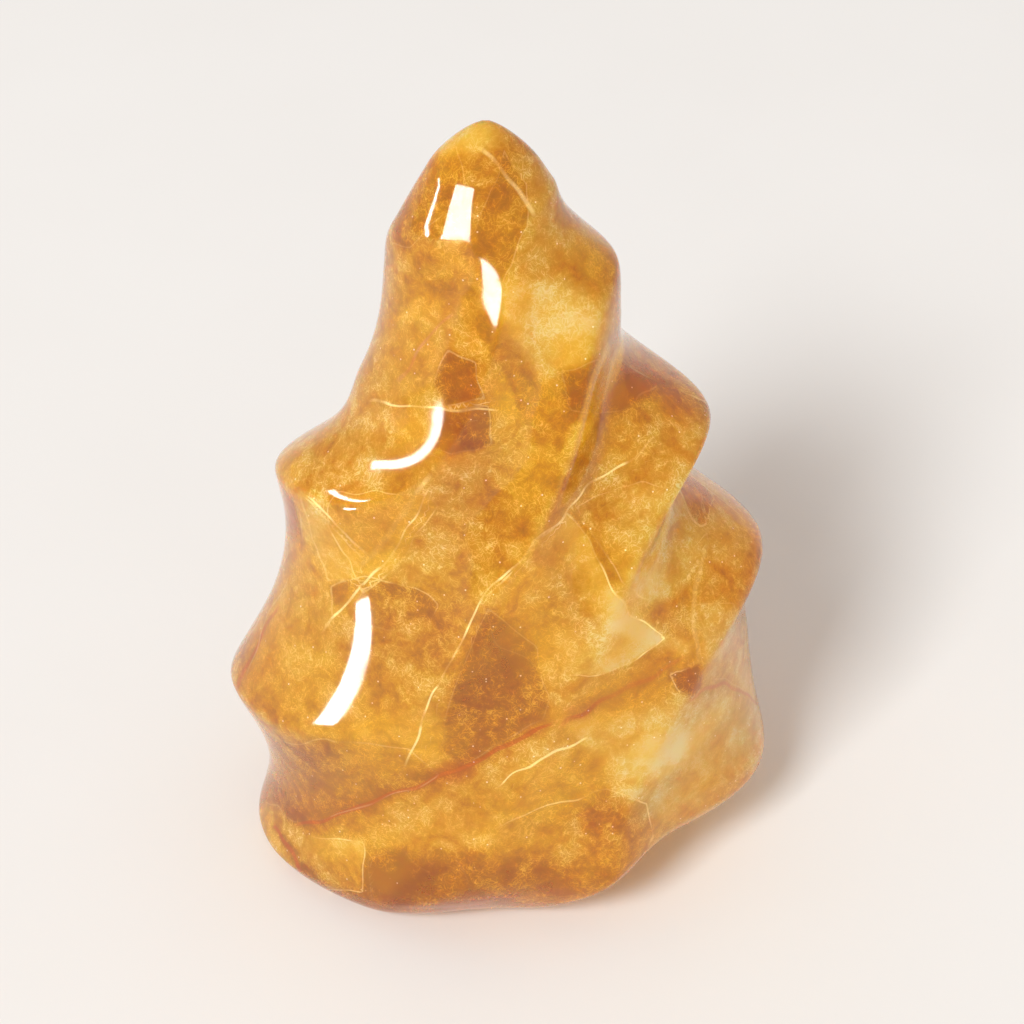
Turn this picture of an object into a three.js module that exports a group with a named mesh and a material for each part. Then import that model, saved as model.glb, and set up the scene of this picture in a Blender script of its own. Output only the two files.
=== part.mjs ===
// A flame carved from one piece of amber quartz: a flattened, slightly leaning cone whose ridges
// wind upward from a flat cut foot to a blunt tip. Millimetres, +Z up, the front facing -Y,
// origin under the middle of the body.
import * as THREE from 'three';

// Overall size
const HEIGHT = 110.3;
const TIP_ROUNDING = 6; // height of the rounded cap at the tip
const FOOT_ROUNDING = 4; // height of the rounded edge above the foot
const FOOT_INSET = 1.5; // how far that edge draws in

// Ridges: where a crest passes the right and the left edge, as [height, reach from the middle].
// From one crest to the next, the ridges have wound a quarter turn upward.
const RIDGES = 4;
const RIGHT_CRESTS = [[13.5, 35.2], [47.5, 33.2], [68, 25.7], [91, 13.8], [102, 6.4]];
const LEFT_CRESTS = [[0, 33.2], [26, 35.5], [60, 28], [97, 12.1]];
const FOOT_RIGHT = 16; // reach of the foot to the right
const TIP_RIGHT = 2; // reach of the tip to both sides, before it is rounded off
const TIP_LEFT = 5.2;
const CREST_SOFTNESS = 0.12; // 0 is a knife edge
const LEVELLING = 0.75; // how level the ridges run past the edges: 0 is plain, 1 is level
const PATTERN_TILT = 0.25; // slope with which the ridge pattern drops from front to back
// Extra turn of the ridges on the front face in degrees, by height
const FRONT_TURN = [[0, 60], [60, 45], [85, 30], [HEIGHT, 0]];

// Hollows between the ridges: [height, depth as a share of the half-width]
const RIGHT_HOLLOW = [[6, 0.22], [32, 0.07], [50, 0.2], [62, 0.3], [74, 0.36], [84, 0.21], [96, 0.12]];
const LEFT_HOLLOW = [[10, 0.11], [42, 0.14], [56, 0.19], [66, 0.35], [75, 0.25], [90, 0.28], [98, 0.07]];
const FACE_RIGHT = 0.25; // share of that depth which is left on the faces, towards each edge
const FACE_LEFT = 0.6;

// Depth of the body, front to back, as a share of its width: [height, share]
const FLATNESS = [[0, 0.87], [30, 0.72], [HEIGHT, 0.9]];

// Mesh fineness
const AROUND = 84;
const UPWARD = 58;
const TIP_CROWDING = 1.3; // above 1 the rings lie closer together towards the tip

const AMBER = new THREE.MeshStandardMaterial({
  name: 'amber quartz',
  color: 0xd99e47,
  roughness: 0.08,
  metalness: 0,
  transparent: true,
  opacity: 0.85,
});

// A smooth curve through the stations that never swings past them (monotone cubic).
function curveThrough(stations) {
  const last = stations.length - 1;
  const z = stations.map((station) => station[0]);
  const v = stations.map((station) => station[1]);
  const gap = [];
  const rise = [];
  for (let k = 0; k < last; k += 1) {
    gap.push(z[k + 1] - z[k]);
    rise.push((v[k + 1] - v[k]) / gap[k]);
  }
  const slope = [endSlope(gap[0], gap[1], rise[0], rise[1])];
  for (let k = 1; k < last; k += 1) {
    if (rise[k - 1] * rise[k] <= 0) {
      slope.push(0);
      continue;
    }
    const before = 2 * gap[k] + gap[k - 1];
    const after = gap[k] + 2 * gap[k - 1];
    slope.push((before + after) / (before / rise[k - 1] + after / rise[k]));
  }
  slope.push(endSlope(gap[last - 1], gap[last - 2], rise[last - 1], rise[last - 2]));
  return (height) => {
    let k = 0;
    while (k < last - 1 && height > z[k + 1]) k += 1;
    const t = THREE.MathUtils.clamp((height - z[k]) / gap[k], 0, 1);
    const t2 = t * t;
    const t3 = t2 * t;
    return v[k] * (2 * t3 - 3 * t2 + 1) + v[k + 1] * (3 * t2 - 2 * t3)
      + gap[k] * (slope[k] * (t3 - 2 * t2 + t) + slope[k + 1] * (t3 - t2));
  };
}

function endSlope(gap, nextGap, rise, nextRise) {
  const slope = ((2 * gap + nextGap) * rise - gap * nextRise) / (gap + nextGap);
  if (slope * rise <= 0) return 0;
  if (rise * nextRise <= 0 && Math.abs(slope) > 3 * Math.abs(rise)) return 3 * rise;
  return slope;
}

function turnAtCrests(crests) {
  return curveThrough(crests.map(([height], k) => [height, 360 / RIDGES * k]));
}

const rightReach = curveThrough([[0, FOOT_RIGHT], ...RIGHT_CRESTS, [HEIGHT, TIP_RIGHT]]);
const leftReach = curveThrough([...LEFT_CRESTS, [HEIGHT, TIP_LEFT]]);
const rightTurn = turnAtCrests(RIGHT_CRESTS);
const leftTurn = turnAtCrests(LEFT_CRESTS);
const frontTurn = curveThrough(FRONT_TURN);
const rightHollow = curveThrough(RIGHT_HOLLOW);
const leftHollow = curveThrough(LEFT_HOLLOW);
const flatness = curveThrough(FLATNESS);

// 0 on a crest and 1 in the middle of a hollow
function hollowness(angle, height, patternHeight) {
  const c = Math.cos(angle);
  const s = Math.sin(angle);
  const sides = rightTurn(patternHeight) * (1 + c) / 2 + leftTurn(patternHeight) * (1 - c) / 2;
  const front = s < 0 ? frontTurn(height) * s * s : 0;
  const turn = THREE.MathUtils.degToRad(sides + front) + LEVELLING * s * c;
  const wave = Math.sin((angle - turn) * RIDGES / 2);
  const top = Math.hypot(1, CREST_SOFTNESS) - CREST_SOFTNESS;
  return (Math.hypot(wave, CREST_SOFTNESS) - CREST_SOFTNESS) / top;
}

function surfacePoint(angle, height) {
  const c = Math.cos(angle);
  const s = Math.sin(angle);
  const right = (1 + c) / 2;
  const left = (1 - c) / 2;
  const intoCap = Math.max(height - (HEIGHT - TIP_ROUNDING), 0) / TIP_ROUNDING;
  const cap = Math.sqrt(Math.max(1 - intoCap * intoCap, 0));
  const inset = FOOT_INSET * Math.max(1 - height / FOOT_ROUNDING, 0) ** 2;
  const halfWidth = (rightReach(height) + leftReach(height)) / 2 * cap - inset;
  const plain = halfWidth / Math.hypot(c, s / flatness(height));
  const patternHeight = THREE.MathUtils.clamp(height + PATTERN_TILT * plain * s, 0, HEIGHT);
  const hollow = rightHollow(patternHeight) * right + leftHollow(patternHeight) * left;
  const face = FACE_RIGHT * right + FACE_LEFT * left;
  const depth = hollow * (face + (1 - face) * Math.abs(c) ** 3);
  const radius = plain * (1 - depth * hollowness(angle, height, patternHeight));
  return new THREE.Vector3(leanX(height) + radius * c, radius * s, height);
}

function leanX(height) {
  return (rightReach(height) - leftReach(height)) / 2;
}

function ringHeight(row) {
  return HEIGHT * (1 - (1 - row / UPWARD) ** TIP_CROWDING);
}

function ringAngle(column) {
  return 2 * Math.PI * column / AROUND;
}

function flameGeometry() {
  const points = [];
  for (let row = 0; row < UPWARD; row += 1) {
    for (let column = 0; column < AROUND; column += 1) {
      points.push(surfacePoint(ringAngle(column), ringHeight(row)));
    }
  }
  const apex = points.length;
  points.push(surfacePoint(0, HEIGHT));
  const foot = points.length;
  points.push(new THREE.Vector3(leanX(0), 0, 0));

  const index = [];
  const at = (row, column) => row * AROUND + column % AROUND;
  for (let row = 0; row < UPWARD - 1; row += 1) {
    for (let column = 0; column < AROUND; column += 1) {
      const low = at(row, column);
      const lowNext = at(row, column + 1);
      const high = at(row + 1, column);
      const highNext = at(row + 1, column + 1);
      // The four-sided patch is split along the diagonal that lies nearer to the true surface.
      const midHeight = (ringHeight(row) + ringHeight(row + 1)) / 2;
      const middle = surfacePoint(ringAngle(column + 0.5), midHeight);
      const rising = points[low].clone().lerp(points[highNext], 0.5).distanceTo(middle);
      const falling = points[lowNext].clone().lerp(points[high], 0.5).distanceTo(middle);
      if (rising < falling) index.push(low, lowNext, highNext, low, highNext, high);
      else index.push(low, lowNext, high, lowNext, highNext, high);
    }
  }
  for (let column = 0; column < AROUND; column += 1) {
    index.push(at(UPWARD - 1, column), at(UPWARD - 1, column + 1), apex);
    index.push(at(0, column + 1), at(0, column), foot);
  }

  const geometry = new THREE.BufferGeometry().setFromPoints(points);
  geometry.setIndex(index);
  geometry.computeVertexNormals();
  return geometry;
}

const flame = new THREE.Mesh(flameGeometry(), AMBER);
flame.name = 'quartz_flame';

const carving = new THREE.Group();
carving.add(flame);

export default carving;
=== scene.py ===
"""Looks for the quartz flame carving: a polished see-through body, its healed fractures, and a studio."""

import math

import bpy
import numpy as np
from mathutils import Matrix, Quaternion, Vector


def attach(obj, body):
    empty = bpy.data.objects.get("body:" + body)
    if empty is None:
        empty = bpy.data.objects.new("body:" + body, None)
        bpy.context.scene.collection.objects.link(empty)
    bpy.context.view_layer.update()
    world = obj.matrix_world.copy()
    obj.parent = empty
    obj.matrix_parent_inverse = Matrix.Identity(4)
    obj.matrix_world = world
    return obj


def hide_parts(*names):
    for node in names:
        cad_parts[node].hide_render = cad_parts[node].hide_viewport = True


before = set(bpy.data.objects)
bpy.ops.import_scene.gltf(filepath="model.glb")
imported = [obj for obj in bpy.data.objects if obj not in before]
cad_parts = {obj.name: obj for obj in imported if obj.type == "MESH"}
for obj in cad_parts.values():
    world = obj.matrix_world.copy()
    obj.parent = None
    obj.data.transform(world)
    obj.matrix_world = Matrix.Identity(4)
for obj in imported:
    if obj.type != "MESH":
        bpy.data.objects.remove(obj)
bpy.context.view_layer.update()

MM = 0.001

# ---------------------------------------------------------------- view, in millimetres and degrees
PICTURE = 1024  # side of the picture in pixels
PIXELS_PER_MM = 8  # at the point that the camera looks at
VIEW_ELEVATION = 40
VIEW_DISTANCE = 380
LOOK_AT = (1.4, -1.95, 54.2)
VIEW_COS = math.cos(math.radians(VIEW_ELEVATION))
VIEW_SIN = math.sin(math.radians(VIEW_ELEVATION))
SENSOR_WIDTH = 36
NEAREST_SEEN = 10

# ---------------------------------------------------------------- shape, in millimetres as in the CAD
HEIGHT = 110.3
TIP_ROUNDING = 6  # height of the rounded cap at the tip
FOOT_ROUNDING = 4  # height of the rounded edge above the foot
FOOT_INSET = 1.5  # how far that edge draws in
RIDGES = 4
# Where a crest passes the right and the left edge, as (height, reach from the middle)
RIGHT_CRESTS = [(13.5, 35.2), (47.5, 33.2), (68, 25.7), (91, 13.8), (102, 6.4)]
LEFT_CRESTS = [(0, 33.2), (26, 35.5), (60, 28), (97, 12.1)]
FOOT_RIGHT = 16  # reach of the foot to the right
TIP_RIGHT = 2  # reach of the tip to both sides, before it is rounded off
TIP_LEFT = 5.2
CREST_SOFTNESS = 0.12  # 0 is a knife edge
LEVELLING = 0.75  # how level the ridges run past the edges: 0 is plain, 1 is level
PATTERN_TILT = 0.25  # slope with which the ridge pattern drops from front to back
FRONT_TURN = [(0, 60), (60, 45), (85, 30), (HEIGHT, 0)]  # extra degrees on the front face, by height
# Hollows between the ridges: (height, depth as a share of the half-width)
RIGHT_HOLLOW = [(6, 0.22), (32, 0.07), (50, 0.2), (62, 0.3), (74, 0.36), (84, 0.21), (96, 0.12)]
LEFT_HOLLOW = [(10, 0.11), (42, 0.14), (56, 0.19), (66, 0.35), (75, 0.25), (90, 0.28), (98, 0.07)]
FACE_RIGHT = 0.25  # share of that depth which is left on the faces, towards each edge
FACE_LEFT = 0.6
FLATNESS = [(0, 0.87), (30, 0.72), (HEIGHT, 0.9)]  # depth as a share of the width, by height
AROUND = 280  # fineness of the mesh
UPWARD = 250
TIP_CROWDING = 1.3  # above 1 the rings lie closer together towards the tip


def curve_through(stations):
    """A smooth curve through the stations that never swings past them (monotone cubic)."""
    z, v = (np.array(c, float) for c in zip(*stations))
    gap = np.diff(z)
    rise = np.diff(v) / gap

    def end_slope(gap, next_gap, rise, next_rise):
        slope = ((2 * gap + next_gap) * rise - gap * next_rise) / (gap + next_gap)
        if slope * rise <= 0:
            return 0.0
        if rise * next_rise <= 0 and abs(slope) > 3 * abs(rise):
            return 3 * rise
        return slope

    slope = np.zeros(len(z))
    slope[0] = end_slope(gap[0], gap[1], rise[0], rise[1])
    slope[-1] = end_slope(gap[-1], gap[-2], rise[-1], rise[-2])
    for k in range(1, len(z) - 1):
        if rise[k - 1] * rise[k] > 0:
            before = 2 * gap[k] + gap[k - 1]
            after = gap[k] + 2 * gap[k - 1]
            slope[k] = (before + after) / (before / rise[k - 1] + after / rise[k])

    def at(height):
        height = np.clip(height, z[0], z[-1])
        k = np.clip(np.searchsorted(z, height, side="left") - 1, 0, len(gap) - 1)
        t = (height - z[k]) / gap[k]
        t2 = t * t
        t3 = t2 * t
        return (v[k] * (2 * t3 - 3 * t2 + 1) + v[k + 1] * (3 * t2 - 2 * t3)
                + gap[k] * (slope[k] * (t3 - 2 * t2 + t) + slope[k + 1] * (t3 - t2)))

    return at


def turn_at(crests):
    """The turn of the ridges in degrees, by height: they wind on by one ridge from crest to crest."""
    return curve_through([(height, 360 / RIDGES * k) for k, (height, _) in enumerate(crests)])


right_reach = curve_through([(0, FOOT_RIGHT), *RIGHT_CRESTS, (HEIGHT, TIP_RIGHT)])
left_reach = curve_through([*LEFT_CRESTS, (HEIGHT, TIP_LEFT)])
right_turn = turn_at(RIGHT_CRESTS)
left_turn = turn_at(LEFT_CRESTS)
front_turn = curve_through(FRONT_TURN)
right_hollow = curve_through(RIGHT_HOLLOW)
left_hollow = curve_through(LEFT_HOLLOW)
flatness = curve_through(FLATNESS)


def lean_x(height):
    return (right_reach(height) - left_reach(height)) / 2


def body_radius(angle, height):
    """Distance from the leaning middle line to the polished surface."""
    c = np.cos(angle)
    s = np.sin(angle)
    right = (1 + c) / 2
    left = (1 - c) / 2
    into_cap = np.clip(height - (HEIGHT - TIP_ROUNDING), 0, None) / TIP_ROUNDING
    cap = np.sqrt(np.clip(1 - into_cap ** 2, 0, 1))
    inset = FOOT_INSET * np.clip(1 - height / FOOT_ROUNDING, 0, 1) ** 2
    half_width = (right_reach(height) + left_reach(height)) / 2 * cap - inset
    plain = half_width / np.hypot(c, s / flatness(height))

    pattern = np.clip(height + PATTERN_TILT * plain * s, 0, HEIGHT)
    sides = right_turn(pattern) * right + left_turn(pattern) * left
    front = np.where(s < 0, front_turn(height) * s * s, 0)
    turn = np.radians(sides + front) + LEVELLING * s * c
    wave = np.sin((angle - turn) * RIDGES / 2)
    top = math.hypot(1, CREST_SOFTNESS) - CREST_SOFTNESS
    hollowness = (np.hypot(wave, CREST_SOFTNESS) - CREST_SOFTNESS) / top

    hollow = right_hollow(pattern) * right + left_hollow(pattern) * left
    face = FACE_RIGHT * right + FACE_LEFT * left
    depth = hollow * (face + (1 - face) * np.abs(c) ** 3)
    return plain * (1 - depth * hollowness)


def surface(angle, height):
    radius = body_radius(angle, height)
    x = lean_x(height) + radius * np.cos(angle)
    y = radius * np.sin(angle)
    return np.stack(np.broadcast_arrays(x, y, height), -1)


def make_mesh(name, points_mm, faces, material):
    """A smooth-shaded object from points in millimetres."""
    mesh = bpy.data.meshes.new(name)
    mesh.from_pydata([tuple(p) for p in np.asarray(points_mm) * MM], [], faces)
    mesh.update()
    mesh.polygons.foreach_set("use_smooth", [True] * len(mesh.polygons))
    mesh.materials.append(material)
    obj = bpy.data.objects.new(name, mesh)
    bpy.context.scene.collection.objects.link(obj)
    return obj


# ---------------------------------------------------------------- shader helpers
class Shader:
    """A small notation for node trees: most calls add a node and return its output or outputs."""

    def __init__(self, name):
        self.material = bpy.data.materials.new(name)
        self.material.use_nodes = True
        self.tree = self.material.node_tree
        self.tree.nodes.clear()
        self.output = self.node("ShaderNodeOutputMaterial")

    def node(self, kind, **settings):
        n = self.tree.nodes.new(kind)
        for key, value in settings.items():
            setattr(n, key, value)
        return n

    def put(self, socket, value):
        if isinstance(value, bpy.types.NodeSocket):
            self.tree.links.new(value, socket)
        else:
            socket.default_value = value

    def math(self, op, a, b=0.0, c=0.0, clamp=False):
        n = self.node("ShaderNodeMath", operation=op, use_clamp=clamp)
        for socket, value in zip(n.inputs, (a, b, c)):
            self.put(socket, value)
        return n.outputs[0]

    def vmath(self, op, a, b=(0, 0, 0), scale=None):
        n = self.node("ShaderNodeVectorMath", operation=op)
        self.put(n.inputs[0], a)
        if scale is None:
            self.put(n.inputs[1], b)
        else:
            self.put(n.inputs["Scale"], scale)
        return n.outputs[0]

    def noise(self, vector, scale, detail, rough=0.5, distort=0.0):
        n = self.node("ShaderNodeTexNoise")
        self.put(n.inputs["Vector"], vector)
        n.inputs["Scale"].default_value = scale
        n.inputs["Detail"].default_value = detail
        n.inputs["Roughness"].default_value = rough
        n.inputs["Distortion"].default_value = distort
        return n.outputs

    def voronoi(self, vector, scale):
        n = self.node("ShaderNodeTexVoronoi", feature="F1")
        self.put(n.inputs["Vector"], vector)
        n.inputs["Scale"].default_value = scale
        return n.outputs

    def split(self, colour):
        n = self.node("ShaderNodeSeparateColor")
        self.put(n.inputs[0], colour)
        return n.outputs

    def ramp(self, value, stops):
        n = self.node("ShaderNodeValToRGB")
        self.put(n.inputs[0], value)
        elements = n.color_ramp.elements
        while len(elements) < len(stops):
            elements.new(0.5)  # the places are set below
        for element, (position, colour) in zip(elements, stops):
            element.position = position
            element.color = (*colour, 1)
        return n.outputs[0]

    def fade(self, value, low, high, at_low=0.0, at_high=1.0):
        n = self.node("ShaderNodeMapRange", interpolation_type="SMOOTHSTEP")
        for socket, number in zip(n.inputs, (value, low, high, at_low, at_high)):
            self.put(socket, number)
        return n.outputs[0]

    def mix(self, factor, a, b):
        n = self.node("ShaderNodeMix", data_type="RGBA")
        colours = [socket for socket in n.inputs if socket.type == "RGBA"]
        self.put(n.inputs[0], factor)
        for socket, value in zip(colours, (a, b)):
            self.put(socket, value if isinstance(value, bpy.types.NodeSocket) else (*value, 1))
        return next(socket for socket in n.outputs if socket.type == "RGBA")

    def near(self, value, middle, narrow, wide):
        """1 where the value is near the middle, fading to 0 at the wide distance from it."""
        return self.fade(self.math("ABSOLUTE", self.math("SUBTRACT", value, middle)), wide, narrow)

    def millimetres(self):
        coords = self.node("ShaderNodeTexCoord").outputs["Object"]
        return self.vmath("SCALE", coords, scale=1 / MM)

    def warped(self, vector, scale, amount):
        shift = self.noise(vector, scale, detail=0)["Color"]
        centred = self.vmath("SUBTRACT", shift, (0.5, 0.5, 0.5))
        return self.vmath("ADD", vector, self.vmath("SCALE", centred, scale=amount))


# ---------------------------------------------------------------- colours and markings
PEACH = (0.87, 0.59, 0.095)
CREAM = (0.95, 0.79, 0.36)
GOLD = (0.82, 0.435, 0.005)
YELLOW = (0.90, 0.51, 0.002)
AMBER = (0.64, 0.29, 0.003)
BROWN = (0.44, 0.17, 0.003)
RUST = (0.52, 0.12, 0.002)
GLINT = (0.95, 0.90, 0.75)

# The markings are placed as the camera sees them, in its 1024 x 1024 picture. Every place below is
# (across from the left edge, down from the top edge) in pixels of that picture, and angles are in
# degrees, from the right upward.

# Zones with a clear border: name, corners, tone (pale +, brown -), yellow, rust, softness of the
# border in mm, width in mm of the rim that carries the tone (0 fills the zone), the side on which
# the zone shows (None is all of it), and how strongly the border shows as a pale line
ZONES = [
    ("dome", [(565, 508), (590, 535), (606, 566), (632, 605), (668, 634), (640, 655), (600, 668),
              (548, 660), (505, 640), (492, 603), (520, 560)], 0.2, 0, 0, 0.25, 7, 20, 0.8),
    ("smoke", [(497, 606), (545, 640), (560, 690), (545, 712), (500, 735), (455, 757), (430, 745),
               (452, 690), (475, 640)], -0.16, 0, 0.03, 0.8, 0, None, 0.2),
    ("notch_pocket", [(448, 358), (470, 366), (476, 398), (440, 398), (432, 380)],
     -0.17, 0, 0.12, 0.5, 0, None, 0.35),
    ("brown_pane", [(433, 402), (478, 404), (482, 440), (445, 448), (430, 440)],
     -0.21, 0, 0.2, 0.35, 0, None, 0.45),
    ("shade", [(345, 592), (372, 583), (420, 584), (440, 600), (425, 622), (380, 628), (340, 640)],
     -0.18, 0, 0.05, 0.5, 5, 90, 0.5),
    ("gold_pane", [(330, 497), (372, 492), (420, 492), (440, 505), (405, 560), (370, 600), (352, 565),
                   (325, 530)], 0, 0.6, 0, 0.4, 0, None, 0.4),
    ("pale_fin", [(300, 500), (330, 530), (365, 562), (372, 590), (340, 585), (310, 545)],
     0.1, 0, 0, 0.6, 0, None, 0.3),
    ("right_window", [(668, 672), (702, 668), (705, 690), (690, 697), (675, 690)],
     -0.26, 0, 0.08, 0.25, 0, None, 0.6),
    ("crown", [(505, 150), (527, 185), (533, 235), (520, 275), (498, 305), (455, 300), (430, 290),
               (480, 240)], -0.11, 0.4, 0.03, 0.4, 6, 10, 0.3),
    ("crown_left", [(400, 195), (430, 165), (455, 150), (465, 185), (440, 225), (415, 250),
                    (395, 235)], -0.07, 0.2, 0, 0.8, 0, None, 0.2),
    ("peach_cloud", [(485, 310), (520, 290), (565, 285), (610, 300), (612, 330), (590, 365),
                     (545, 375), (505, 360)], 0.18, 0, 0, 2, 0, None, 0),
    ("east_pocket", [(560, 365), (600, 350), (650, 375), (655, 392), (620, 402), (570, 400)],
     -0.22, 0, 0.05, 1.2, 0, None, 0.2),
    ("small_window", [(672, 488), (684, 484), (700, 492), (710, 510), (700, 528), (690, 530),
                      (676, 515)], -0.18, 0, 0.06, 0.4, 0, None, 0.5),
    ("lens", [(470, 905), (450, 860), (480, 830), (540, 800), (600, 785), (645, 800), (650, 830),
              (630, 862), (580, 890)], -0.06, 0, 0, 0.25, 0, 60, 0.6),
    ("toe_pale", [(300, 835), (362, 842), (360, 895), (330, 890), (305, 865)],
     0.2, 0, 0, 0.5, 5, 0, 0.6),
    ("toe_brown", [(366, 860), (400, 850), (425, 875), (415, 908), (370, 900)],
     -0.12, 0, 0.1, 1.4, 0, None, 0.1),
    ("low_left", [(262, 745), (330, 735), (400, 745), (432, 770), (380, 795), (300, 825), (268, 800)],
     -0.12, 0, 0.12, 1, 0, None, 0.3),
    ("right_pale", [(570, 712), (640, 700), (700, 700), (755, 700), (760, 745), (700, 800),
                    (650, 790), (600, 770)], 0.14, 0, 0, 1.6, 0, None, 0),
    # painted reflection: the right flank, seen at a grazing angle, is made paler as if it reflected light
    ("flank_peach", [(703, 600), (745, 600), (752, 690), (706, 680)], 0.12, 0, 0, 1, 0, None, 0.2),
    ("left_flank", [(282, 480), (300, 520), (303, 560), (262, 620), (240, 690), (232, 660),
                    (262, 600), (284, 560)], -0.06, 0, 0.05, 0.6, 0, None, 0.3),
    ("dark_window", [(281, 492), (296, 512), (301, 550), (289, 540)], -0.22, 0, 0, 0.7, 0, None, 0.1),
    ("bright_fin", [(620, 590), (668, 630), (700, 640), (690, 655), (650, 640), (615, 615)],
     0.17, 0, 0, 0.8, 0, None, 0),
    ("amber_lake", [(575, 505), (640, 470), (690, 490), (700, 540), (690, 590), (655, 600),
                    (625, 575), (600, 540)], 0.05, 0.05, 0, 0.5, 0, None, 0.35),
]

# Soft clouds: name, centre, half-axes in pixels, angle, tone, yellow, rust
CLOUDS = [
    ("tip_pale", (455, 140), (60, 26), 15, 0.2, 0, 0),
    ("shoulder", (560, 210), (60, 90), -30, 0.08, 0, 0),
    ("sun_a", (600, 258), (46, 28), 5, 0, 0.75, 0),
    ("sun_b", (515, 392), (44, 28), 0, -0.02, 0.85, 0),
    ("sun_c", (400, 738), (66, 36), 15, 0.03, 0.8, 0),
    ("sun_d", (556, 776), (66, 36), 28, 0, 0.75, 0),
    ("sun_e", (625, 690), (84, 24), 27, -0.03, 0.9, 0.12),
    ("sun_f", (552, 636), (44, 50), -20, 0, 0.5, 0),
    ("shelf", (380, 436), (95, 42), 20, 0.03, 0, 0),
    ("curl", (645, 580), (34, 24), -20, 0.14, 0, 0),
    ("wisp_a", (665, 745), (50, 22), 20, 0.18, 0, 0),
    ("wisp_b", (648, 800), (46, 16), -20, 0.16, 0, 0),
    ("ember_a", (445, 765), (26, 16), 20, -0.06, 0, 0.5),
    ("ember_b", (590, 702), (30, 10), 25, -0.03, 0, 0.35),
    ("ember_c", (470, 390), (18, 26), -30, 0, 0, 0.3),
    ("left_edge", (262, 655), (26, 60), -25, 0, 0.2, 0.28),
    ("mid_pale", (430, 570), (60, 40), 20, 0.02, 0, 0),
    ("low_mid", (470, 850), (70, 50), 20, 0.02, 0, 0),
    ("east_pale", (690, 500), (75, 110), -10, 0.1, 0, 0),
    ("foot_shade", (440, 892), (200, 46), 4, -0.2, 0, 0.06),
    ("low_left_shade", (310, 790), (70, 60), 0, -0.08, 0, 0),
]

# Healed cracks: name, centre, half-length, angle, bow, width, pale, yellow, rust, tone of the halo,
# its width; all lengths in pixels
SEAMS = [
    ("long_pale", (498, 584), 205, 53, 27, 2, 0.9, 0.25, 0, 0.05, 22),
    ("iron", (430, 771), 140, 24, 0, 3.4, 0, 0.4, 1, -0.08, 16),
    ("iron_b", (625, 686), 72, 28, 2, 4, 0, 0.9, 0.4, 0, 14),
    ("iron_c", (722, 691), 38, 5, 6, 4, 0, 0.5, 0.6, 0.06, 12),
    ("low_pale", (540, 752), 58, 27, 3, 1.8, 0.8, 0.2, 0, 0.06, 16),
    ("crown_line", (425, 400), 62, -6, 2, 1.8, 0.8, 0, 0, 0, 10),
    ("net_a", (388, 566), 88, 56, -8, 1.8, 0.8, 0.3, 0, 0.06, 14),
    ("net_b", (335, 528), 48, -42, 0, 1.8, 0.8, 0.2, 0, 0.05, 12),
    ("toe_crack", (290, 855), 30, -58, 2, 4, 0, 0, 0.9, -0.12, 10),
    ("left_rust", (250, 655), 48, 62, 3, 4, 0, 0.3, 0.5, 0, 14),
    ("right_seam", (704, 622), 78, 88, -4, 4, 0.2, 0.6, 0.15, 0, 12),
    ("spoke", (425, 350), 42, 46, 0, 3, 0.2, 0, 0.5, 0, 8),
    ("vein", (512, 182), 46, -52, 4, 4, 0.6, 0, 0, 0, 10),
    ("ribbon", (400, 520), 60, 58, 0, 6, 0.4, 0.3, 0, 0, 12),
]


# From front to back, as y in mm: where the marks above fade out, where the patches of the back fade
# in, and where the hidden cracks do
FRONT_WHOLE = 4
FRONT_ENDS = 12
BACK_STARTS = -6
BACK_WHOLE = 8
HIDDEN_STARTS = -9
HIDDEN_WHOLE = -2

NOISE_TABLE = 4096  # a power of two
NOISE_HASH = (73856093, 19349663, 83492791)
NOISE_SHIFT = 100.0  # keeps every cell number positive
FAR = 1e9
TINY = 1e-9  # keeps a level edge from dividing by zero

CELLS = 110  # patches of slightly different tone through the whole stone
CELLS_SEED = 5
CELLS_SHARPNESS = 9
CELLS_NEAREST = 1e-3  # keeps the weight at a cell's middle finite
CELLS_LOW = (-40, -32, 0)
CELLS_HIGH = (40, 32, 112)
CELL_TONE_FRONT = 0.045
CELL_TONE_BACK = 0.10
CELL_YELLOW = 0.35
CELL_YELLOW_FROM = 0.4  # how yellow a patch, from -1 to 1, has to be to show it, and to show it fully
CELL_YELLOW_FULL = 0.7

ZONE_REST = 0.15  # share of a zone's tone inside its rim, and on the side where it doesn't show
ZONE_SIDE = 4  # mm over which it goes from one side to the other
ZONE_LINE = 0.16  # mm, width of its border line
CLOUD_WHOLE = 0.35  # shares of its half-axes up to which a cloud is whole, and at which it ends
CLOUD_END = 1.25
SEAM_WHOLE = 0.7  # the same for a crack, in squared shares of its half-length
SEAM_END = 1.15
HALO_YELLOW = 0.5  # shares of a crack's stains that its halo has
HALO_RUST = 0.25
STAIN_LINE = 0.2  # a crack with more rust than this is drawn as a rust line
LINE_WHOLE = 0.9  # mm from a crack up to which its line is stored in full, and at which it ends
LINE_ENDS = 1.6
LINE_FAINTEST = 0.02
NO_LINE = 9.0  # widths from a line where there is none

STAIN_GROUP = 2  # the group of the rust lines, after the two groups of pale lines

HIDDEN_CRACKS = 34  # on the back and the flanks, which the photograph doesn't show
HIDDEN_SEED = 17
HIDDEN_LOW = (-34, 2, 4)  # the box in which their middles lie
HIDDEN_HIGH = (34, 26, 104)
HIDDEN_RADIUS = (7, 19)
HIDDEN_WHOLE_TO = 0.6  # share of the radius up to which one is whole
HIDDEN_STRENGTH = (0.3, 0.8)
HIDDEN_TONE = (-0.1, 0.14)
HIDDEN_STAINED = 0.22  # share of them that carry rust
HIDDEN_RUST = 0.2
HIDDEN_PALE_WIDTH = 0.32  # mm, as the three below
HIDDEN_RUST_WIDTH = 0.45
HIDDEN_HALO = 6.0
HIDDEN_RUST_HALO = 1.8


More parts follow.
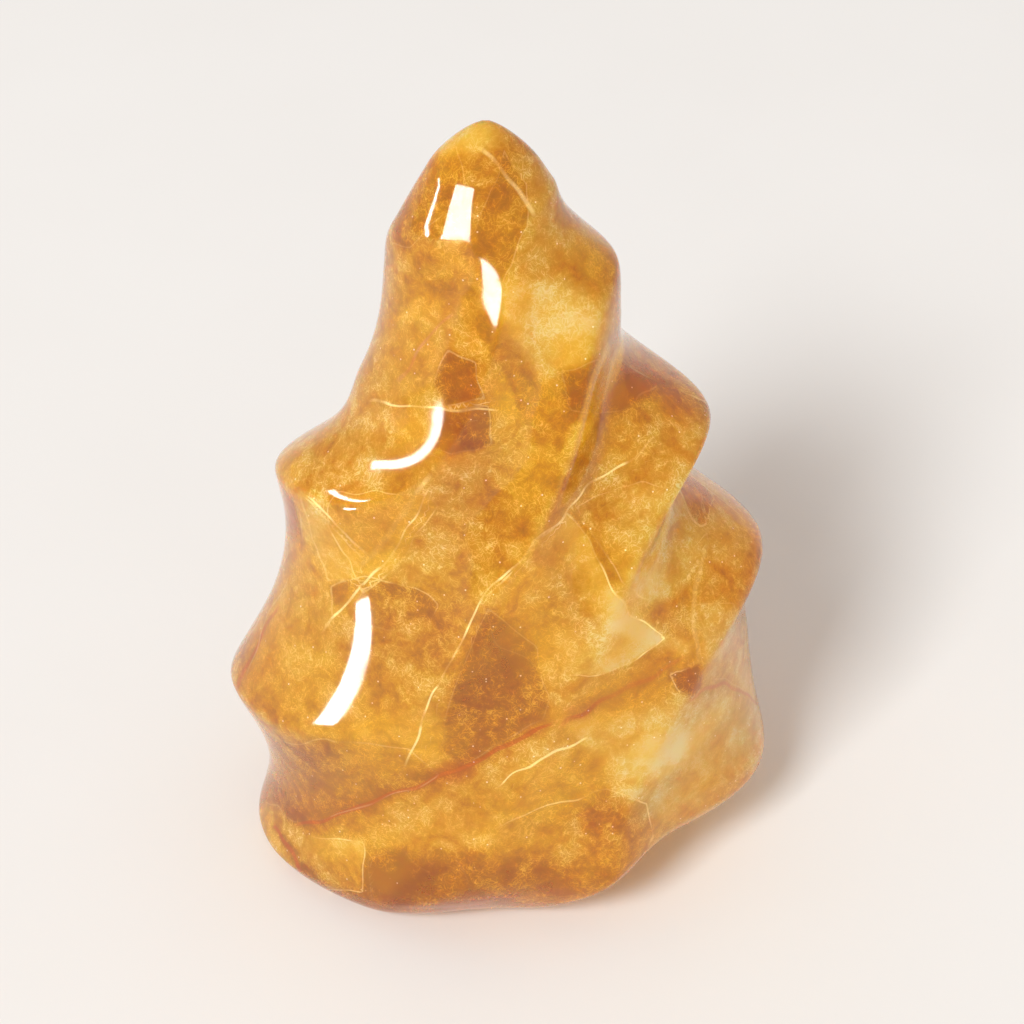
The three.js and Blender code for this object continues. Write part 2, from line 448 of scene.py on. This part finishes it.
def fade(value, low, high, at_low=0.0, at_high=1.0):
    """A smooth step: at_low where the value is at low, or beyond it, and at_high at high."""
    t = np.clip((value - low) / (high - low), 0, 1)
    return at_low + (at_high - at_low) * t * t * (3 - 2 * t)


def lattice_noise(points, scale, seed):
    """Smooth noise between 0 and 1 for points in mm; scale is in cells per mm."""
    table = np.random.default_rng(seed).random(NOISE_TABLE)
    place = points * scale + NOISE_SHIFT
    cell = np.floor(place).astype(np.int64)
    t = place - cell
    t = t * t * (3 - 2 * t)
    total = 0
    for corner in np.ndindex(2, 2, 2):
        weight = np.prod(np.where(corner, t, 1 - t), axis=-1)
        i, j, k = ((cell + corner) * NOISE_HASH).T
        total = total + weight * table[(i ^ j ^ k) & (NOISE_TABLE - 1)]
    return total


def wander(points, scale, amount, seed):
    """The points moved about by smooth noise, up to half of amount each way."""
    shifts = [lattice_noise(points, scale, seed + k) for k in range(3)]
    return points + amount * (np.stack(shifts, -1) - 0.5)


def as_seen(points):
    """Where the camera sees points given in mm: across and up from the middle of its picture."""
    ahead = np.array([0, VIEW_COS, -VIEW_SIN])
    up = np.array([0, VIEW_SIN, VIEW_COS])
    d = points - np.array(LOOK_AT)
    scale = VIEW_DISTANCE / (VIEW_DISTANCE + d @ ahead)
    return np.stack([d[:, 0] * scale, d @ up * scale], -1)


def from_picture(places):
    """Picture places turned into mm across and up from the middle of the picture."""
    across, down = np.array(places, float).T
    return np.stack([across - PICTURE / 2, PICTURE / 2 - down], -1) / PIXELS_PER_MM


def into_frame(points, centre, angle):
    """How far points lie from a centre, along a line at that angle and across it."""
    d = points - centre
    c = math.cos(math.radians(angle))
    s = math.sin(math.radians(angle))
    return d[:, 0] * c + d[:, 1] * s, d[:, 1] * c - d[:, 0] * s


def border_distance(points, corners):
    """Distance to the border of a polygon, positive inside."""
    nearest = np.full(len(points), FAR)
    inside = np.zeros(len(points), bool)
    for a, b in zip(corners, np.roll(corners, -1, axis=0)):
        edge = b - a
        d = points - a
        t = np.clip(d @ edge / (edge @ edge), 0, 1)
        nearest = np.minimum(nearest, np.hypot(*(d - t[:, None] * edge).T))
        crosses = (a[1] > points[:, 1]) != (b[1] > points[:, 1])
        rise = edge[1] or TINY
        inside ^= crosses & (points[:, 0] < a[0] + edge[0] * (points[:, 1] - a[1]) / rise)
    return np.where(inside, nearest, -nearest)


class Markings:
    """Tone, stains and healed cracks at the points of the surface, worked out once for each point."""

    def __init__(self, points):
        count = len(points)
        self.tone = np.zeros(count)
        self.yellow = np.zeros(count)
        self.rust = np.zeros(count)
        self.lines = [[np.full(count, NO_LINE), np.zeros(count)] for _ in range(STAIN_GROUP + 1)]
        self.pale_group = 0
        self.front = fade(points[:, 1], FRONT_ENDS, FRONT_WHOLE)
        face = np.column_stack([as_seen(points), points[:, 1]])
        face = wander(face, scale=0.09, amount=3.4, seed=11)
        self.face = wander(face, scale=0.4, amount=0.9, seed=21)[:, :2]
        self.points = wander(points, scale=0.08, amount=5.0, seed=31)
        self.add_cells()
        for _, *zone in ZONES:
            self.add_zone(*zone)
        for _, *cloud in CLOUDS:
            self.add_cloud(*cloud)
        for _, *seam in SEAMS:
            self.add_seam(*seam)
        self.add_hidden_cracks()

    def stain(self, mask, tone, yellow, rust):
        self.tone += tone * mask
        self.yellow += yellow * mask
        self.rust += rust * mask

    def next_pale(self):
        """The two groups of pale lines take turns, so that pale lines can cross."""
        self.pale_group = 1 - self.pale_group
        return self.pale_group

    def draw(self, group, distance, width, strength):
        """Keeps the nearest line of a group as a signed distance, in widths, and its strength."""
        kept, kept_strength = self.lines[group]
        strength = strength * fade(np.abs(distance), LINE_ENDS, LINE_WHOLE)
        scaled = distance / width
        nearer = (np.abs(scaled) < np.abs(kept)) & (strength > LINE_FAINTEST)
        kept[nearer] = scaled[nearer]
        kept_strength[nearer] = strength[nearer]

    def add_cells(self):
        """Patches of slightly different tone, whose borders the weights soften a little."""
        rng = np.random.default_rng(CELLS_SEED)
        middles = rng.uniform(CELLS_LOW, CELLS_HIGH, (CELLS, 3))
        stains = rng.uniform(-1, 1, (CELLS, 2))
        weights, tone, yellow = 0, 0, 0
        for middle, (cell_tone, cell_yellow) in zip(middles, stains):
            squared = ((self.points - middle) ** 2).sum(-1)
            weight = 1 / (squared + CELLS_NEAREST) ** CELLS_SHARPNESS
            weights = weights + weight
            tone = tone + weight * cell_tone
            yellow = yellow + weight * cell_yellow
        y = self.points[:, 1]
        reach = fade(y, BACK_STARTS, BACK_WHOLE, CELL_TONE_FRONT, CELL_TONE_BACK)
        self.tone += reach * tone / weights
        at_back = fade(y, BACK_STARTS, BACK_WHOLE)
        shown = fade(yellow / weights, CELL_YELLOW_FROM, CELL_YELLOW_FULL)
        self.yellow += CELL_YELLOW * shown * at_back

    def add_zone(self, corners, tone, yellow, rust, soft, rim, side, line):
        corners = from_picture(corners)
        inside = border_distance(self.face, corners)
        mask = fade(inside, -soft, soft)
        if rim:
            mask = mask * fade(inside, rim, 0, ZONE_REST, 1)
        shown = self.front
        if side is not None:
            towards, _ = into_frame(self.face, np.mean(corners, axis=0), side)
            shown = shown * fade(towards, -ZONE_SIDE, ZONE_SIDE, ZONE_REST, 1)
        self.stain(mask * shown, tone, yellow, rust)
        if line:
            self.draw(self.next_pale(), inside, ZONE_LINE, line * shown)

    def add_cloud(self, centre, half, angle, tone, yellow, rust):
        x, y = into_frame(self.face, from_picture([centre])[0], angle)
        reach = np.hypot(x / half[0], y / half[1]) * PIXELS_PER_MM
        self.stain(fade(reach, CLOUD_END, CLOUD_WHOLE) * self.front, tone, yellow, rust)

    def add_seam(self, centre, reach, angle, bow, width, pale, yellow, rust, halo_tone, halo):
        reach, bow, width, halo = (size / PIXELS_PER_MM for size in (reach, bow, width, halo))
        x, y = into_frame(self.face, from_picture([centre])[0], angle)
        along = x / reach
        across = y + bow * along * along
        ends = fade(along * along, SEAM_END, SEAM_WHOLE) * self.front
        glow = fade(np.abs(across), halo, 0) * ends
        self.stain(glow, halo_tone, HALO_YELLOW * yellow, HALO_RUST * rust)
        if pale:
            self.draw(self.next_pale(), across, width, pale * ends)
        if rust > STAIN_LINE:
            self.draw(STAIN_GROUP, across, width, rust * ends)

    def add_hidden_cracks(self):
        """Flat healed cracks through the back and the flanks, each paler along one side."""
        rng = np.random.default_rng(HIDDEN_SEED)
        for _ in range(HIDDEN_CRACKS):
            centre = rng.uniform(HIDDEN_LOW, HIDDEN_HIGH)
            normal = rng.normal(size=3)
            normal /= np.linalg.norm(normal)
            radius = rng.uniform(*HIDDEN_RADIUS)
            strength = rng.uniform(*HIDDEN_STRENGTH)
            tone = rng.uniform(*HIDDEN_TONE)
            d = self.points - centre
            across = d @ normal
            radial = np.sqrt(np.maximum((d * d).sum(-1) - across ** 2, 0)) / radius
            shown = fade(radial, 1.0, HIDDEN_WHOLE_TO)
            shown = shown * fade(self.points[:, 1], HIDDEN_STARTS, HIDDEN_WHOLE)
            self.tone += tone * shown * fade(across, HIDDEN_HALO, 0.0) * (across > 0)
            pale_group = self.next_pale()
            if rng.random() < HIDDEN_STAINED:
                self.rust += HIDDEN_RUST * shown * fade(np.abs(across), HIDDEN_RUST_HALO, 0.0)
                self.draw(STAIN_GROUP, across, HIDDEN_RUST_WIDTH, shown * strength)
            else:
                self.draw(pale_group, across, HIDDEN_PALE_WIDTH, shown * strength)


# Colour of the stone by its tone, from brown to pale
TONES = [(0.18, BROWN), (0.36, AMBER), (0.5, GOLD), (0.68, PEACH), (0.86, CREAM)]
MIDDLE_TONE = 0.5
MOTTLE_CONTRAST = 0.5
FIBRE_TONE = 0.2  # how much a fibre lightens the tone
SMALL_FIBRE = 0.8  # strength of the small fibres beside the large ones
SUNNY_YELLOW = 0.55
LINE_RUST = 0.9
LINE_FULL = 0.2  # widths from a line's middle up to which it is full, and at which it ends
LINE_EDGE = 0.85
MOST_YELLOW = 0.8  # no stain hides the tone below it fully
MOST_RUST = 0.9
MOST_PALE = 0.9
GLINT_COVER = 0.7
RUST_COVER = 0.6
QUARTZ_IOR = 1.54
CLEAREST = 0.84  # transmission of the darkest, clearest stone
MILKINESS = 0.5  # how much less the palest stone lets through
COVERING = 0.45  # how much less pale lines, stains and glints let through
SCATTER_SHARES = (1.0, 0.45, 0.12)  # how far red, green and blue scatter, as shares of the reach
SCATTER_REACH = 0.006  # metres
LAMP_LIGHT_THROUGH = (0.36, 0.25, 0.15)  # share of the lamps' light that a surface lets past
ABSORBED_TO = (0.97, 0.78, 0.05)
ABSORPTION = 18.0
WAVE_STRENGTH = 0.05  # of the faint unevenness of the polish
WAVE_HEIGHT = 0.0003  # metres


def quartz_body():
    sh = Shader("amber_quartz")
    mm = sh.millimetres()

    def stored(name):
        return sh.split(sh.node("ShaderNodeAttribute", attribute_name=name).outputs["Color"])

    def line(distance, strength):
        return sh.math("MULTIPLY", sh.near(distance, 0.0, LINE_FULL, LINE_EDGE), strength)

    zone_tone, yellow, rust = stored("zones")
    distance_a, strength_a, distance_c = stored("cracks_pale")
    distance_b, strength_b, strength_c = stored("cracks_more")

    mottle = sh.noise(mm, scale=0.30, detail=3, rough=0.62, distort=0.4)[0]
    zone_tone = sh.math("ADD", zone_tone, MIDDLE_TONE)
    tone = sh.math("MULTIPLY_ADD", sh.math("SUBTRACT", mottle, 0.5), MOTTLE_CONTRAST, zone_tone)
    sunny = sh.noise(mm, scale=0.07, detail=1)[0]
    yellow = sh.math("ADD", yellow, sh.fade(sunny, low=0.46, high=0.62, at_high=SUNNY_YELLOW))

    # healed cracks: pale lines that break off here and there, and rust lines
    broken = sh.fade(sh.noise(mm, scale=0.22, detail=1)[0], low=0.38, high=0.56, at_low=0.2)
    either = sh.math("MAXIMUM", line(distance_a, strength_a), line(distance_b, strength_b))
    pale = sh.math("MULTIPLY", either, broken)
    rust = sh.math("MULTIPLY_ADD", line(distance_c, strength_c), LINE_RUST, rust)

    # short curled fibres, which lighten the tone
    winding = sh.warped(mm, scale=1.1, amount=1.0)
    curl = sh.near(sh.noise(winding, scale=1.3, detail=0.6)[0], 0.5, narrow=0.004, wide=0.035)
    small_curl = sh.near(sh.noise(winding, scale=2.2, detail=0.6)[0], 0.5, narrow=0.006, wide=0.045)
    fibre = sh.math("MAXIMUM", curl, sh.math("MULTIPLY", small_curl, SMALL_FIBRE))
    fibre = sh.math("MULTIPLY", fibre, sh.fade(mottle, low=0.38, high=0.62, at_low=0.25))
    tone = sh.math("MULTIPLY_ADD", fibre, FIBRE_TONE, tone)

    # glints: a dot in the middle of a few Voronoi cells
    cells = sh.voronoi(mm, scale=1.2)
    chosen = sh.fade(sh.split(cells["Color"])[0], low=0.86, high=0.9)
    glint = sh.math("MULTIPLY", sh.near(cells["Distance"], 0.0, narrow=0.08, wide=0.16), chosen)

    colour = sh.ramp(tone, TONES)
    colour = sh.mix(sh.math("MINIMUM", yellow, MOST_YELLOW), colour, YELLOW)
    colour = sh.mix(sh.math("MINIMUM", rust, MOST_RUST), colour, RUST)
    colour = sh.mix(sh.math("MINIMUM", pale, MOST_PALE), colour, CREAM)
    colour = sh.mix(sh.math("MULTIPLY", glint, GLINT_COVER), colour, GLINT)

    milk = sh.fade(tone, low=0.25, high=0.8)
    clear = sh.math("MULTIPLY_ADD", milk, -MILKINESS, CLEAREST)
    cover = sh.math("MAXIMUM", pale, sh.math("MULTIPLY", rust, RUST_COVER))
    cover = sh.math("MAXIMUM", cover, glint)
    clear = sh.math("MULTIPLY_ADD", cover, -COVERING, clear, clamp=True)

    glass = sh.node("ShaderNodeBsdfPrincipled")
    sh.put(glass.inputs["Base Color"], colour)
    sh.put(glass.inputs["Transmission Weight"], clear)
    polish = sh.fade(mottle, low=0.3, high=0.8, at_low=0.05, at_high=0.1)
    sh.put(glass.inputs["Roughness"], polish)
    glass.inputs["IOR"].default_value = QUARTZ_IOR
    glass.inputs["Subsurface Weight"].default_value = 1.0
    glass.inputs["Subsurface Radius"].default_value = SCATTER_SHARES
    glass.inputs["Subsurface Scale"].default_value = SCATTER_REACH
    bump = sh.node("ShaderNodeBump")
    bump.inputs["Strength"].default_value = WAVE_STRENGTH
    bump.inputs["Distance"].default_value = WAVE_HEIGHT
    sh.put(bump.inputs["Height"], sh.noise(mm, scale=0.12, detail=1)[0])
    sh.put(glass.inputs["Normal"], bump.outputs[0])

    # To shadow rays the surface is plain see-through, so that the lamps' light gets inside the stone
    # and past it to the floor.
    through = sh.node("ShaderNodeBsdfTransparent")
    through.inputs["Color"].default_value = (*LAMP_LIGHT_THROUGH, 1)
    pick = sh.node("ShaderNodeMixShader")
    sh.put(pick.inputs[0], sh.node("ShaderNodeLightPath").outputs["Is Shadow Ray"])
    sh.put(pick.inputs[1], glass.outputs[0])
    sh.put(pick.inputs[2], through.outputs[0])
    sh.put(sh.output.inputs["Surface"], pick.outputs[0])

    tint = sh.node("ShaderNodeVolumeAbsorption")
    tint.inputs["Color"].default_value = (*ABSORBED_TO, 1)
    tint.inputs["Density"].default_value = ABSORPTION
    sh.put(sh.output.inputs["Volume"], tint.outputs[0])
    return sh.material


def body_piece(material):
    angle = np.linspace(0, 2 * np.pi, AROUND, endpoint=False)
    height = HEIGHT * (1 - (1 - np.arange(UPWARD) / UPWARD) ** TIP_CROWDING)
    rings = surface(*np.meshgrid(angle, height)).reshape(-1, 3)
    points = np.vstack([rings, surface(0.0, HEIGHT), (lean_x(0.0), 0.0, 0.0)])
    apex = len(rings)
    foot = apex + 1
    top = (UPWARD - 1) * AROUND
    faces = []
    for low in range(0, top, AROUND):
        high = low + AROUND
        for here in range(AROUND):
            beside = (here + 1) % AROUND
            faces.append((low + here, low + beside, high + beside, high + here))
    for here in range(AROUND):
        beside = (here + 1) % AROUND
        faces.append((top + here, top + beside, apex))
        faces.append((beside, here, foot))
    piece = make_mesh("flame_body", points, faces, material)

    marks = Markings(points)
    (distance_a, strength_a), (distance_b, strength_b), (distance_c, strength_c) = marks.lines
    for name, columns in {
        "zones": (marks.tone, marks.yellow, marks.rust),
        "cracks_pale": (distance_a, strength_a, distance_c),
        "cracks_more": (distance_b, strength_b, strength_c),
    }.items():
        layer = piece.data.attributes.new(name, "FLOAT_VECTOR", "POINT")
        layer.data.foreach_set("vector", np.stack(columns, -1).astype(np.float32).ravel())
    return piece


body = body_piece(quartz_body())
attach(body, "root")
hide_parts("quartz_flame")

# ---------------------------------------------------------------- studio
FLOOR_REACH = 1500  # mm each way
FLOOR_DROP = 0.0002  # metres below the foot, so that the two faces don't meet
FLOOR_TONES = ((0.79, 0.765, 0.74), (0.82, 0.80, 0.78))
FLOOR_ROUGHNESS = 0.85
LAMP_COLOUR = (1, 0.99, 0.98)
ROOM_COLOUR = (1, 0.985, 0.97)
ROOM_STRENGTH = 0.55
BODY_MIDDLE = (0, 0, 50)  # mm
TIP_HOLLOW = (-4, -7, 98)

sh = Shader("pale_floor")
floor_tone = sh.noise(sh.millimetres(), scale=0.02, detail=3)[0]
plain = sh.node("ShaderNodeBsdfPrincipled")
sh.put(plain.inputs["Base Color"], sh.mix(floor_tone, *FLOOR_TONES))
plain.inputs["Roughness"].default_value = FLOOR_ROUGHNESS
plain.inputs["Specular IOR Level"].default_value = 0.0
sh.put(sh.output.inputs["Surface"], plain.outputs[0])
corners = [(x * FLOOR_REACH, y * FLOOR_REACH, 0) for x, y in ((-1, -1), (1, -1), (1, 1), (-1, 1))]
floor = make_mesh("floor", corners, [(0, 1, 2, 3)], sh.material)
floor.location.z = -FLOOR_DROP

forward = Vector((0, VIEW_COS, -VIEW_SIN))
camera = bpy.data.objects.new("camera", bpy.data.cameras.new("camera"))
bpy.context.scene.collection.objects.link(camera)
camera.location = (Vector(LOOK_AT) - forward * VIEW_DISTANCE) * MM
camera.rotation_mode = "QUATERNION"
camera.rotation_quaternion = forward.to_track_quat("-Z", "Y")
camera.data.sensor_width = SENSOR_WIDTH
camera.data.lens = SENSOR_WIDTH * PIXELS_PER_MM * VIEW_DISTANCE / PICTURE
camera.data.clip_start = NEAREST_SEEN * MM
bpy.context.scene.camera = camera


def softbox(name, azimuth, elevation, distance, width, height, watts, aim=BODY_MIDDLE, roll=0):
    """A flat lamp that faces aim, a place in mm. Its sizes are in metres; azimuth 0 is the front."""
    lamp = bpy.data.lights.new(name, "AREA")
    lamp.shape = "RECTANGLE"
    lamp.size = width
    lamp.size_y = height
    lamp.energy = watts
    lamp.color = LAMP_COLOUR
    obj = bpy.data.objects.new(name, lamp)
    bpy.context.scene.collection.objects.link(obj)
    az = math.radians(azimuth)
    el = math.radians(elevation)
    towards = Vector((math.sin(az) * math.cos(el), -math.cos(az) * math.cos(el), math.sin(el)))
    obj.location = Vector(aim) * MM + towards * distance
    obj.rotation_mode = "QUATERNION"
    facing = (-towards).to_track_quat("-Z", "Y")
    obj.rotation_quaternion = facing @ Quaternion((0, 0, 1), math.radians(roll))
    return obj


# Three small lamps near the stone draw the highlights, and only its gloss sees them.
window = softbox("window", azimuth=-61, elevation=-14, distance=0.14, width=0.016, height=0.018,
                 watts=0.026)
strip = softbox("strip", azimuth=-79, elevation=14, distance=0.3, width=0.15, height=0.016,
                watts=0.18, roll=-22)
card = softbox("card", azimuth=-33, elevation=14, distance=0.05, width=0.032, height=0.026,
               watts=0.05, aim=TIP_HOLLOW)
gloss_receivers = bpy.data.collections.new("gloss_receivers")
gloss_receivers.objects.link(body)
for lamp in (window, strip, card):
    lamp.visible_diffuse = False
    lamp.visible_transmission = False
    lamp.visible_camera = False
    lamp.light_linking.receiver_collection = gloss_receivers

big = softbox("big_lamp", azimuth=-30, elevation=43, distance=4.0, width=1.1, height=1.1, watts=142.0)
big.visible_glossy = False
big.visible_transmission = False

room = bpy.data.worlds.new("studio")
room.use_nodes = True
background = room.node_tree.nodes["Background"]
background.inputs["Color"].default_value = (*ROOM_COLOUR, 1)
background.inputs["Strength"].default_value = ROOM_STRENGTH
room.cycles.sampling_method = "NONE"  # the same light from all sides needs no search for it
bpy.context.scene.world = room
bpy.context.scene.view_settings.view_transform = "Standard"
